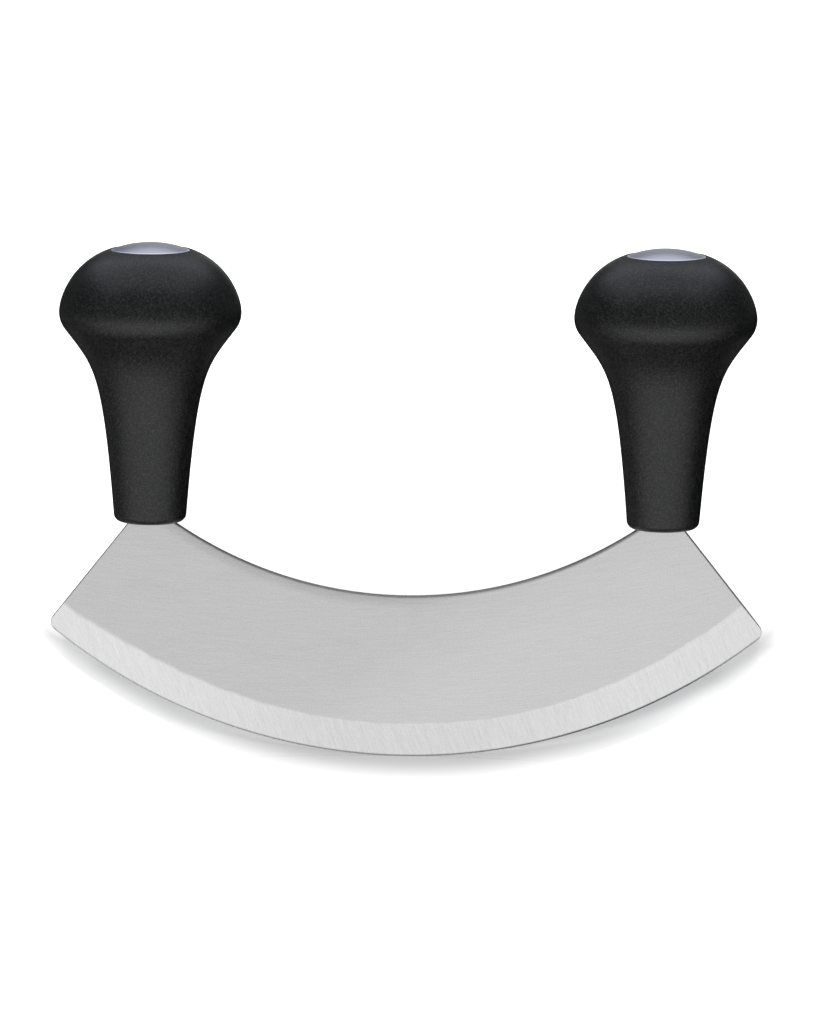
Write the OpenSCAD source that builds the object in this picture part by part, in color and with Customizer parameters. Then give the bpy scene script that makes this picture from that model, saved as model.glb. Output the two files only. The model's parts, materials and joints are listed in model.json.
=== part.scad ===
// Mezzaluna with one rocking blade and two upright mushroom grips.
// X runs along the blade, Y through its thickness and Z up.
// The origin is under the middle of the blade, level with the lowest point of the cutting edge.
// Every grip piece is drawn on the right side and mirrored to the left.

/* [Blade] */
// Length of the blade from tip to tip
blade_length = 180; // [170:1:195]
// Radius of the rocking cutting edge
edge_radius = 142.5; // [130:0.5:170]
// Depth of the blade in its middle, from the cutting edge to the spine
blade_depth = 41.2; // [36:0.2:45]
// Height of the grips' feet above the lowest point of the cutting edge
foot_height = 59.5; // [57:0.5:64]
// Width of the blade where it enters a grip
neck_width = 11.1; // [9.5:0.1:12.5]
// How far the middle of that neck lies inside the grip's axis
neck_inset = 0.4; // [0:0.1:0.8]
// Thickness of the steel sheet
sheet_thickness = 2.4; // [1.8:0.1:3]
// Radius of the rounded tips
tip_radius = 2.6; // [1.5:0.1:4]

/* [Cutting edge] */
// Width of the bevel ground on each face
bevel_width = 8.2; // [6:0.1:11]
// Thickness that the bevels leave behind the honed edge
bevel_end_thickness = 0.4; // [0.25:0.05:0.6]
// Width of the honed strip on each face
hone_width = 0.35; // [0.2:0.05:0.6]
// Thickness of the very edge
edge_thickness = 0.06; // [0.04:0.01:0.1]

/* [Tangs] */
// Width of the flat tang inside a grip
tang_width = 7; // [6.4:0.1:8]
// Height of the tang's end above the grip's foot
tang_height = 32; // [26:1:38]
// How much each face of the tang is ground down, so that the grip slides over it
tang_relief = 0.1; // [0.05:0.01:0.2]
// Height of the sheet's full thickness that ends just under the grip's foot
relief_gap = 0.1; // [0.05:0.05:0.3]

/* [Grip outline] */
// Distance from each tip of the blade to the axis of the grip next to it
grip_inset = 25.2; // [23:0.2:28]
// Height of the grip from its foot to the rim around the cap
grip_height = 69.1; // [66:0.1:74]
// Diameter of the foot
foot_diameter = 18.4; // [17.6:0.1:20]
// Radius of the rounding around the foot
foot_rounding = 2; // [1.2:0.1:2.6]
// Angle at which the grip starts to widen above the foot
taper_angle = 4.6; // [3:0.1:6]
// Height of the widest part above the foot
widest_height = 53.2; // [50:0.1:56]
// Diameter of the widest part
widest_diameter = 46; // [42:0.5:50]
// Radius of the turn just under the widest part
underside_radius = 6.7; // [5:0.1:9]
// Steepest slope of the underside, measured from the grip's axis
underside_angle = 37; // [30:1:44]
// How far the foot's taper carries up, as a share of the sweep from foot to underside
taper_reach = 0.76; // [0.6:0.01:0.85]
// How far the underside's slope carries down, as a share of the same sweep
underside_reach = 0.25; // [0.15:0.01:0.35]
// How far the widest part carries up, as a share of the crown
shoulder_reach = 0.2; // [0.12:0.01:0.35]
// How far the rim's slope carries out, as a share of the crown
crown_reach = 0.48; // [0.35:0.01:0.6]
// Slope of the crown at the rim, measured from level
crown_angle = 18; // [10:1:25]

/* [Grip walls] */
// Thickness of the soft outer sleeve
sleeve_wall = 2; // [1.4:0.1:2.6]
// Thickness of the sleeve under the foot
sleeve_floor = 1; // [0.8:0.1:1.6]
// Width of the broken edge around the mouth that holds the cap
mouth_break = 0.3; // [0.1:0.1:0.5]
// Diameter of the well over the nut, wide enough for a socket
well_diameter = 16; // [13.5:0.5:17.5]
// Height of the well's floor above the foot
well_floor_height = 49.5; // [45:0.5:53]

/* [Cap] */
// Diameter of the domed cap
cap_diameter = 20; // [18.5:0.5:22]
// Rise of the dome above the cap's edge
cap_rise = 1.95; // [1.2:0.05:3]
// Thickness of the cap's sheet
cap_sheet = 0.8; // [0.5:0.1:1.2]
// Length of the cap's skirt below its edge
cap_skirt = 3.4; // [2.6:0.1:4.4]
// How far the cap's edge lies under the grip's rim
cap_drop = 0.25; // [0.1:0.05:1]

/* [Stud, washer and nut] */
// Diameter of the stud
stud_diameter = 6; // [5:0.5:6]
// Length of the tang that the stud's slot holds
stud_lap = 10; // [6:1:14]
// Length of stud that stands out of the nut
stud_end = 2.4; // [1:0.2:4]
// Diameter of the washer
washer_diameter = 12; // [11:0.5:13]
// Thickness of the washer
washer_thickness = 1.6; // [1:0.1:2]
// Width of the nut across its flats
nut_flats = 10; // [9:0.5:11]
// Height of the nut
nut_height = 5; // [4:0.5:6]

/* [Fits] */
// Play on each side of a tang in its slot
slot_fit = 0.05; // [0.02:0.01:0.15]
// Play around the stud in the core and in the washer
bore_fit = 0.15; // [0.05:0.05:0.3]
// Play between the stud and the nut
thread_fit = 0.04; // [0.02:0.01:0.08]
// Play around the cap's skirt
cap_fit = 0.05; // [0.02:0.01:0.1]
// Play between the core and the sleeve moulded over it
sleeve_fit = 0.02; // [0.01:0.01:0.05]

/* [Hidden] */
$fn = 96;
curve_steps = 14;
turn_steps = 8;
// Small overlap that lets one cut run into another
over = 0.5;
steel = "#c9cbcd";
bright_steel = "#b4b4c0";
black_rubber = "#2b2b2d";
grey_plastic = "#4a4b4e";

// Places along the blade
grip_x = blade_length / 2 - grip_inset;
neck_x = grip_x - neck_inset;
spine_x = neck_x - neck_width / 2;
end_x = neck_x + neck_width / 2;
spine_lift = foot_height - blade_depth;
spine_radius = (spine_x * spine_x + spine_lift * spine_lift) / (2 * spine_lift);
spine_centre = blade_depth + spine_radius;

// The straight end runs from the neck to touch the rounding of the tip
tip_x = blade_length / 2 - tip_radius;
tip_z = edge_radius - sqrt(pow(edge_radius - tip_radius, 2) - tip_x * tip_x);
neck_to_tip = [tip_x - end_x, foot_height - tip_z];
end_angle = atan2(neck_to_tip[0], neck_to_tip[1]) + asin(tip_radius / norm(neck_to_tip));
end_meet = foot_height + end_x / tan(end_angle);
tip_angle = atan2(edge_radius - tip_z, tip_x);
tang_thickness = sheet_thickness - 2 * tang_relief;
tang_top = foot_height + tang_height;

// Places up the grip
foot_radius = foot_diameter / 2;
widest_radius = widest_diameter / 2;
widest_z = foot_height + widest_height;
rim_z = foot_height + grip_height;
mouth_radius = cap_diameter / 2 + cap_fit;
cap_edge_z = rim_z - cap_drop;
cap_seat_z = cap_edge_z - cap_skirt;
dome_radius = (pow(cap_diameter / 2, 2) + cap_rise * cap_rise) / (2 * cap_rise);
well_floor_z = foot_height + well_floor_height;
nut_z = well_floor_z + washer_thickness;
stud_top = nut_z + nut_height + stud_end;
stud_chamfer = stud_diameter / 10;
nut_chamfer = nut_height / 8;
bore_radius = stud_diameter / 2 + bore_fit;

// Curves of the grip's side, as pairs of a point and the outward direction there
function unit(v) = v / norm(v);
function outward(v) = unit([v[1], -v[0]]);
function curve_point(p, t) =
    pow(1 - t, 3) * p[0] + 3 * t * pow(1 - t, 2) * p[1] + 3 * t * t * (1 - t) * p[2] + pow(t, 3) * p[3];
function curve_way(p, t) =
    pow(1 - t, 2) * (p[1] - p[0]) + 2 * t * (1 - t) * (p[2] - p[1]) + t * t * (p[3] - p[2]);
function curve(p, first) =
    [for (i = [first : curve_steps]) let (t = i / curve_steps) [curve_point(p, t), outward(curve_way(p, t))]];

foot_point = [foot_radius, foot_height + foot_rounding];
turn_centre = [widest_radius - underside_radius, widest_z];
underside_way = [sin(underside_angle), cos(underside_angle)];
underside_point = turn_centre + underside_radius * [cos(underside_angle), -sin(underside_angle)];
widest_point = [widest_radius, widest_z];
rim_point = [mouth_radius, rim_z];
sweep_length = norm(underside_point - foot_point);
crown_length = norm(rim_point - widest_point);
sweep = [
    foot_point,
    foot_point + taper_reach * sweep_length * [sin(taper_angle), cos(taper_angle)],
    underside_point - underside_reach * sweep_length * underside_way,
    underside_point
];
crown = [
    widest_point,
    widest_point + shoulder_reach * crown_length * [0, 1],
    rim_point + crown_reach * crown_length * [cos(crown_angle), -sin(crown_angle)],
    rim_point
];
turn = [
    for (i = [1 : turn_steps])
        let (a = underside_angle * (i / turn_steps - 1))
            [turn_centre + underside_radius * [cos(a), sin(a)], [cos(a), sin(a)]]
];
grip_side = concat(curve(sweep, 0), turn, curve(crown, 1));

function inset_side(inset) = [for (s = grip_side) s[0] - inset * s[1]];

// Round body of the grip, from the axis out to its side
module grip_body() {
    foot_round = [
        for (i = [0 : turn_steps - 1])
            let (a = 90 * i / turn_steps)
                foot_point + foot_rounding * [sin(a) - 1, -cos(a)]
    ];
    side = inset_side(0);
    translate([grip_x, 0, 0])
        rotate_extrude()
            polygon(concat([[0, foot_height]], foot_round, side, [[0, rim_z]]));
}

// Round body inside the sleeve
module core_body(gap) {
    side = inset_side(sleeve_wall + gap);
    bottom = foot_height + sleeve_floor + gap;
    top = side[len(side) - 1][1];
    translate([grip_x, 0, 0])
        rotate_extrude()
            polygon(concat([[0, bottom], [side[0][0], bottom]], side, [[0, top]]));
}

// Round cut or rod on the grip's axis
module on_axis(radius, bottom, top) {
    translate([grip_x, 0, bottom])
        cylinder(h = top - bottom, r = radius);
}

// Slab of an outline drawn in the plane of the blade
module slab(thickness) {
    rotate([90, 0, 0])
        linear_extrude(height = thickness, center = true)
            children();
}

// Mouth in the grip's top that holds the cap
module cap_mouth() {
    on_axis(mouth_radius, cap_seat_z, rim_z + over);
    translate([grip_x, 0, rim_z - mouth_break])
        cylinder(h = mouth_break + over, r1 = mouth_radius, r2 = mouth_radius + mouth_break + over);
}

// Sheet between the straight ends and the round spine, larger all round by grow
module blade_sheet(thickness, grow) {
    apex = end_meet + grow / sin(end_angle);
    half_base = (apex + over) * tan(end_angle);
    difference() {
        slab(thickness)
            polygon([[0, apex], [-half_base, -over], [half_base, -over]]);
        translate([0, 0, spine_centre])
            rotate([90, 0, 0])
                cylinder(h = thickness + 2 * over, r = spine_radius - grow, center = true, $fn = 240);
    }
}

// Flat tang, larger all round by grow
module tang(grow) {
    translate([grip_x, 0, 0])
        slab(tang_thickness + 2 * grow)
            translate([-tang_width / 2 - grow, foot_height])
                square([tang_width + 2 * grow, tang_height + grow]);
}

// Space that the neck and the tang take inside a grip
module tang_slot() {
    intersection() {
        blade_sheet(tang_thickness + 2 * slot_fit, slot_fit);
        translate([grip_x, 0, foot_height])
            cube([foot_diameter, foot_diameter, foot_diameter], center = true);
    }
    tang(slot_fit);
}

// Disc with the bevels and the honed edge all round it
module ground_disc() {
    half = sheet_thickness / 2;
    rings = [
        [0, half],
        [edge_radius - bevel_width, half],
        [edge_radius - hone_width, bevel_end_thickness / 2],
        [edge_radius, edge_thickness / 2]
    ];
    far_rings = [for (i = [len(rings) - 1 : -1 : 0]) [rings[i][0], -rings[i][1]]];
    // The turn starts at the lowest point, so that point is exact
    translate([0, 0, edge_radius])
        rotate([90, 0, 0])
            rotate(-90)
                rotate_extrude($fn = 240)
                    polygon(concat(rings, far_rings));
}

// Sharp corner outside the rounding of the right tip
module tip_corner() {
    reach = 2 * tip_radius;
    end_way = [cos(end_angle), sin(end_angle)];
    edge_way = [cos(tip_angle), -sin(tip_angle)];
    difference() {
        slab(sheet_thickness + 2 * over)
            translate([tip_x, tip_z])
                polygon([[0, 0], reach * edge_way, reach * (edge_way + end_way), reach * end_way]);
        translate([tip_x, 0, tip_z])
            rotate([90, 0, 0])
                cylinder(h = sheet_thickness + 4 * over, r = tip_radius, center = true);
    }
}

// Steel that is ground off the two faces of the neck above the visible sheet
module neck_relief() {
    bottom = foot_height - relief_gap;
    for (side = [-1, 1])
        translate([grip_x, side * (tang_thickness / 2 + foot_radius), bottom + foot_radius])
            cube([foot_diameter + 2 * over, foot_diameter, foot_diameter], center = true);
}

module blade() {
    color(steel)
        union() {
            difference() {
                intersection() {
                    ground_disc();
                    blade_sheet(sheet_thickness, 0);
                }
                for (side = [0, 1])
                    mirror([side, 0, 0]) {
                        tip_corner();
                        neck_relief();
                    }
            }
            for (side = [0, 1])
                mirror([side, 0, 0])
                    tang(0);
        }
}

module grip_sleeve() {
    color(black_rubber)
        difference() {
            grip_body();
            core_body(0);
            cap_mouth();
            tang_slot();
        }
}

module grip_core() {
    color(grey_plastic)
        difference() {
            core_body(sleeve_fit);
            on_axis(mouth_radius, cap_seat_z, rim_z);
            on_axis(well_diameter / 2, well_floor_z, rim_z);
            on_axis(bore_radius, foot_height, rim_z);
            tang_slot();
        }
}

// Threaded rod with a slot that straddles the end of the tang
module tang_stud() {
    color(bright_steel)
        difference() {
            union() {
                on_axis(stud_diameter / 2, tang_top - stud_lap, stud_top - stud_chamfer);
                translate([grip_x, 0, stud_top - stud_chamfer])
                    cylinder(h = stud_chamfer, r1 = stud_diameter / 2, r2 = stud_diameter / 2 - stud_chamfer);
            }
            tang(slot_fit);
        }
}

module washer() {
    color(bright_steel)
        difference() {
            on_axis(washer_diameter / 2, well_floor_z, nut_z);
            on_axis(bore_radius, well_floor_z - over, nut_z + over);
        }
}

module nut() {
    corner = nut_flats / 2 / cos(30);
    color(bright_steel)
        difference() {
            intersection() {
                translate([grip_x, 0, nut_z])
                    cylinder(h = nut_height, r = corner, $fn = 6);
                translate([grip_x, 0, nut_z])
                    cylinder(h = nut_height, r1 = corner + 2 * nut_height - nut_chamfer, r2 = corner - nut_chamfer);
            }
            on_axis(stud_diameter / 2 + thread_fit, nut_z - over, nut_z + nut_height + over);
        }
}

// Solid form of the cap with its dome, smaller all round by inset
module cap_form(inset, bottom) {
    intersection() {
        on_axis(cap_diameter / 2 - inset, bottom, rim_z + cap_rise);
        translate([grip_x, 0, cap_edge_z + cap_rise - dome_radius])
            sphere(r = dome_radius - inset);
    }
}

module end_cap() {
    color(bright_steel)
        difference() {
            cap_form(0, cap_seat_z);
            cap_form(cap_sheet, cap_seat_z - over);
        }
}

blade();
mirror([1, 0, 0]) grip_sleeve();  // left_grip_sleeve
mirror([1, 0, 0]) grip_core();  // left_grip_core
mirror([1, 0, 0]) tang_stud();  // left_tang_stud
mirror([1, 0, 0]) washer();  // left_washer
mirror([1, 0, 0]) nut();  // left_nut
mirror([1, 0, 0]) end_cap();  // left_end_cap
grip_sleeve();  // right_grip_sleeve
grip_core();  // right_grip_core
tang_stud();  // right_tang_stud
washer();  // right_washer
nut();  // right_nut
end_cap();  // right_end_cap
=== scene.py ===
"""Mezzaluna: a crescent of bevelled sheet steel with an upright grip at each end.

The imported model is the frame. The blade, the two grip sleeves and the two end caps are made here
with finer shapes in the places of their nodes, and the pieces inside the grips get their finishes.
"""

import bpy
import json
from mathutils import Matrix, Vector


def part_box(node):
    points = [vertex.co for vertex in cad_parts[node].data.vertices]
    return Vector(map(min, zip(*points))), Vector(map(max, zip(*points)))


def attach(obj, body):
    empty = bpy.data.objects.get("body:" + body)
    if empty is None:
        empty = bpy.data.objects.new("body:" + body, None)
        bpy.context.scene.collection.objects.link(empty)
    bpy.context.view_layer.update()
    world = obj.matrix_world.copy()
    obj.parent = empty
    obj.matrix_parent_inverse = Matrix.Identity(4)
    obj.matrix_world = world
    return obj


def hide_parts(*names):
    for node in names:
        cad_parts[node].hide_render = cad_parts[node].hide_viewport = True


bl_info = {
    "name": "Mezzaluna",
    "version": (1, 0, 0),
    "blender": (4, 5, 0),
    "location": "3D View > Sidebar > Mezzaluna",
    "description": "Builds a rocking knife with two upright grips on its packed frame",
    "category": "Object",
}

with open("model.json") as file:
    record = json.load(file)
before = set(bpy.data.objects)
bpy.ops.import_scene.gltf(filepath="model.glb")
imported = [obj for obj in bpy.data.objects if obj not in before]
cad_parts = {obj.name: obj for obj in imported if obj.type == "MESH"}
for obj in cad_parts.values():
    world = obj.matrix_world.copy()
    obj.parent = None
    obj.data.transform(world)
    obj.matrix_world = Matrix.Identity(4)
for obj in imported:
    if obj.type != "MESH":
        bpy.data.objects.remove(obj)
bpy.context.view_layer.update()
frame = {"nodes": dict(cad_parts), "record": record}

import json
import math
from types import SimpleNamespace

import bpy
from bpy.props import FloatProperty, FloatVectorProperty, PointerProperty
from mathutils import Matrix, Vector

MM = 0.001
SIDES = {"left": -1, "right": 1}

# Places that the frame gives
BLADE_LOW, BLADE_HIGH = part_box("blade")
SLEEVE_LOW, SLEEVE_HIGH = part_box("right_grip_sleeve")
CAP_LOW, CAP_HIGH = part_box("right_end_cap")
GRIP_AXIS = (SLEEVE_LOW.x + SLEEVE_HIGH.x) / 2
CAP_AXIS = (CAP_LOW.x + CAP_HIGH.x) / 2
SLOT_COLOURS = {entry["slot"]: entry["base_color"] for entry in frame["record"]["materials"]}


# Sizes and colours that a user may change


def number(**kind):
    """A maker of float properties of one kind."""

    def make(name, description, default):
        return FloatProperty(name=name, description=description, default=default, **kind)

    return make


length = number(min=0.0, precision=5, subtype="DISTANCE", unit="LENGTH")
radians = number(subtype="ANGLE", unit="ROTATION")
fraction = number(min=0.0, max=1.0, subtype="FACTOR")
strength = number(min=0.0)


def angle(name, description, degrees):
    """An angle, given in degrees and kept in radians."""
    return radians(name, description, math.radians(degrees))


def colour(name, description, default):
    """A colour in linear light."""
    return FloatVectorProperty(
        name=name, description=description, default=tuple(default), size=3, min=0.0, max=1.0,
        subtype="COLOR",
    )


class BladeSizes(bpy.types.PropertyGroup):
    """Sizes of the blade and its tangs."""

    length: length("Length", "From tip to tip", BLADE_HIGH.x - BLADE_LOW.x)
    edge_radius: length("Edge radius", "Radius of the rocking edge", 142.5 * MM)
    depth: length("Depth", "From the edge to the spine in the middle", 41.2 * MM)
    thickness: length("Thickness", "Thickness of the sheet", BLADE_HIGH.y - BLADE_LOW.y)
    neck_top: length("Neck top", "Height where the full sheet ends under a grip", SLEEVE_LOW.z - 0.1 * MM)
    neck_width: length("Neck width", "Width of the sheet where it enters a grip", 11.1 * MM)
    neck_inset: length("Neck inset", "From the grip's axis to the neck's middle", 0.4 * MM)
    tip_radius: length("Tip radius", "Radius of the rounded tips", 2.6 * MM)
    bevel_width: length("Bevel width", "Width of the ground bevel", 8.2 * MM)
    bevel_end: length("Bevel end", "Thickness behind the honed strip", 0.4 * MM)
    hone_width: length("Hone width", "Width of the honed strip", 0.35 * MM)
    edge_thickness: length("Edge thickness", "Thickness of the very edge", 0.06 * MM)
    deburr: length("Deburring", "Rounding along the cut edges of the sheet", 0.22 * MM)
    relief: length("Relief", "Steel ground off each face of the neck", 0.1 * MM)
    tang_width: length("Tang width", "Width of the tang", 7 * MM)
    tang_top: length("Tang top", "Height of the tang's end", BLADE_HIGH.z)


class GripSizes(bpy.types.PropertyGroup):
    """Sizes of a grip's sleeve."""

    axis: length("Axis", "From the middle of the blade to the grip's axis", GRIP_AXIS)
    foot_height: length("Foot height", "Height of the foot", SLEEVE_LOW.z)
    height: length("Height", "From the foot to the rim round the cap", 69.1 * MM)
    foot_diameter: length("Foot diameter", "Diameter of the foot", 18.4 * MM)
    foot_rounding: length("Foot rounding", "Radius of the rounding round the foot", 2 * MM)
    taper_angle: angle("Taper", "Angle at which the grip widens above the foot", 4.6)
    widest_height: length("Widest height", "From the foot to the widest part", 53.2 * MM)
    widest_diameter: length("Widest diameter", "Diameter of the widest part", SLEEVE_HIGH.y - SLEEVE_LOW.y)
    turn_radius: length("Turn radius", "Radius of the turn under the widest part", 6.7 * MM)
    turn_angle: angle("Underside", "Steepest slope of the underside, from the axis", 37)
    taper_reach: fraction("Taper reach", "How far the taper carries up the sweep", 0.76)
    underside_reach: fraction("Underside reach", "How far the underside's slope carries down", 0.25)
    shoulder_reach: fraction("Shoulder reach", "How far the widest part carries up the crown", 0.2)
    crown_reach: fraction("Crown reach", "How far the rim's slope carries out", 0.48)
    crown_angle: angle("Crown", "Slope of the crown at the rim, from level", 18)
    wall: length("Wall", "Thickness of the sleeve", 2 * MM)
    floor: length("Floor", "Thickness of the sleeve under the foot", 1 * MM)
    mouth_radius: length("Mouth radius", "Radius of the mouth round the cap", 10.05 * MM)
    mouth_break: length("Mouth break", "Width of the broken edge round the mouth", 0.3 * MM)
    slot_shift: length("Slot shift", "From the grip's axis to the middle of the foot's slot", 0.4 * MM)
    slot_width: length("Slot width", "Width of the slot for the neck", 11.2 * MM)
    slot_gap: length("Slot gap", "Opening of the slot across the sheet", 2.3 * MM)


class CapSizes(bpy.types.PropertyGroup):
    """Sizes of an end cap."""

    axis: length("Axis", "From the middle of the blade to the cap's axis", CAP_AXIS)
    seat: length("Seat", "Height of the skirt's lower end", CAP_LOW.z)
    top: length("Top", "Height of the dome's top", CAP_HIGH.z)
    radius: length("Radius", "Radius of the cap", (CAP_HIGH.y - CAP_LOW.y) / 2)
    dome_radius: length("Dome radius", "Radius of the dome", 26.62 * MM)
    sheet: length("Sheet", "Thickness of the cap's sheet", 0.8 * MM)
    rim_rounding: length("Rim rounding", "Radius between the dome and the skirt", 0.3 * MM)


class FinishColours(bpy.types.PropertyGroup):
    """Base colours of the finishes."""

    face: colour("Face", "Brushed faces of the blade", SLOT_COLOURS["blade_steel"])
    # The bevel is the ground steel made lighter, a painted highlight
    bevel: colour("Bevel", "Ground bevel", (0.69, 0.69, 0.69))
    # The cut edge colour is painted shade along the sheet's edges
    edge: colour("Cut edge", "Cut and deburred edges of the sheet", (0.13, 0.13, 0.13))
    sleeve: colour("Sleeve", "Soft black sleeve", SLOT_COLOURS["sleeve_black"])
    cap: colour("Cap", "Satin end cap", SLOT_COLOURS["cap_steel"])
    core: colour("Core", "Moulded core", SLOT_COLOURS["core_grey"])
    fastener: colour("Fastener", "Studs, washers and nuts", SLOT_COLOURS["fastener_steel"])


class StageSettings(bpy.types.PropertyGroup):
    """Camera, floor and lights."""

    aim: FloatVectorProperty(
        name="Aim", description="Point in the middle of the picture", size=3, subtype="TRANSLATION",
        default=(1.6 * MM, 0.0, 62.7 * MM),
    )
    distance: length("Distance", "From the aim to the camera", 1694.4 * MM)
    elevation: angle("Elevation", "Height of the camera above the horizon", 9.0)
    azimuth: angle("Azimuth", "Turn of the camera round the object, towards the right grip", 2.6)
    roll: angle("Roll", "Turn of the camera about its own axis", 0.43)
    lens: FloatProperty(name="Lens", description="Focal length in millimetres", default=236.1, min=10.0)
    floor_radius: length("Floor radius", "Radius of the floor", 30.0)
    low_lamp: strength("Low lamp", "Strength of the low front light", 10.0)
    high_lamp: strength("High lamp", "Strength of the high back light", 2.7)
    card: strength("Card", "Power of the card behind the blade", 3.8)
    softbox: strength("Softbox", "Power of the overhead light", 12.7)


# Node trees


def arithmetic(operation, swapped=False):
    """A method that adds a math node for this number and another one, swapped or in order."""

    def method(self, other):
        return self.graph.math(operation, *((other, self) if swapped else (self, other)))

    return method


class Value:
    """A number in a node tree, which sums and products can be made of."""

    __add__, __radd__ = arithmetic("ADD"), arithmetic("ADD", True)
    __sub__, __rsub__ = arithmetic("SUBTRACT"), arithmetic("SUBTRACT", True)
    __mul__, __rmul__ = arithmetic("MULTIPLY"), arithmetic("MULTIPLY", True)
    __truediv__, __rtruediv__ = arithmetic("DIVIDE"), arithmetic("DIVIDE", True)

    def __init__(self, graph, socket):
        self.graph, self.socket = graph, socket

    def __neg__(self):
        return 0.0 - self

    def __abs__(self):
        return self.graph.math("ABSOLUTE", self)


class Graph:
    """Short calls that add nodes to one tree and link them."""

    def __init__(self, tree):
        self.tree = tree

    def node(self, kind, *values, **settings):
        """Adds a node, sets its properties, and feeds its inputs in order."""
        made = self.tree.nodes.new(kind)
        for name, value in settings.items():
            setattr(made, name, value)
        inputs = [socket for socket in made.inputs if socket.enabled]
        for socket, value in zip(inputs, values):
            self.feed(socket, value)
        return made

    def feed(self, socket, value):
        """Links a value to an input, or writes a plain one on it."""
        if isinstance(value, Value):
            value = value.socket
        if isinstance(value, bpy.types.NodeSocket):
            self.tree.links.new(value, socket)
        elif value is not None:
            socket.default_value = value

    def output(self, kind, *values, **settings):
        """Adds a node and returns its first output."""
        return self.node(kind, *values, **settings).outputs[0]

    def value(self, kind, *values, **settings):
        """Adds a node and returns its first output as a number."""
        return Value(self, self.output(kind, *values, **settings))

    def math(self, operation, *values):
        return self.value("ShaderNodeMath", *values, operation=operation)

    def sin(self, turn):
        return self.math("SINE", turn)

    def cos(self, turn):
        return self.math("COSINE", turn)

    def largest(self, first, *others):
        """The largest of these values."""
        for other in others:
            first = self.math("MAXIMUM", first, other)
        return first

    def point(self, x, y, z=0.0):
        return self.output("ShaderNodeCombineXYZ", x, y, z)

    def parts(self, vector):
        """The three numbers of a vector."""
        return [Value(self, socket) for socket in self.node("ShaderNodeSeparateXYZ", vector).outputs]

    def distance(self, x, y):
        """Length of the line from the origin to x, y."""
        return self.math("SQRT", x * x + y * y)

    def smooth(self, value, low, high):
        """Rises smoothly from 0 at low to 1 at high."""
        ends = low, high, 0.0, 1.0
        return self.value("ShaderNodeMapRange", value, *ends, interpolation_type="SMOOTHSTEP")

    def ramp(self, value, low, high):
        """As smooth, with both ends in millimetres."""
        return self.smooth(value, low * MM, high * MM)

    def noise(self, vector, scale=1.0, detail=2.0, roughness=0.5):
        """Smooth noise from 0 to 1."""
        return self.value("ShaderNodeTexNoise", vector, scale, detail, roughness)

    def streaks(self, x, y, z, detail=3.0, roughness=0.6):
        """Noise over a place whose numbers are stretched one by one."""
        return self.noise(self.point(x, y, z), 1.0, detail, roughness)

    def bolder(self, value, contrast):
        """Moves a value between 0 and 1 away from the middle."""
        return (value - 0.5) * contrast + 0.5

    def blend(self, share, low, high):
        """Mixes two colours or numbers."""
        plain = all(isinstance(value, (float, Value)) for value in (low, high))
        kind = "FLOAT" if plain else "RGBA"
        made = self.node("ShaderNodeMix", data_type=kind)
        sockets = [socket for socket in made.inputs if socket.enabled]
        for socket, value in zip(sockets, (share, low, high)):
            self.feed(socket, (*value, 1.0) if isinstance(value, (tuple, list)) else value)
        result = next(socket for socket in made.outputs if socket.enabled)
        return Value(self, result) if kind == "FLOAT" else result

    def tinted(self, base, strength):
        """A colour made lighter or darker."""
        made = self.node("ShaderNodeVectorMath", base, operation="SCALE")
        self.feed(made.inputs["Scale"], strength)
        return made.outputs[0]


def emptied(owner):
    """The graph of a material or a world, without its first nodes."""
    owner.use_nodes = True
    owner.node_tree.nodes.clear()
    return Graph(owner.node_tree)


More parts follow.
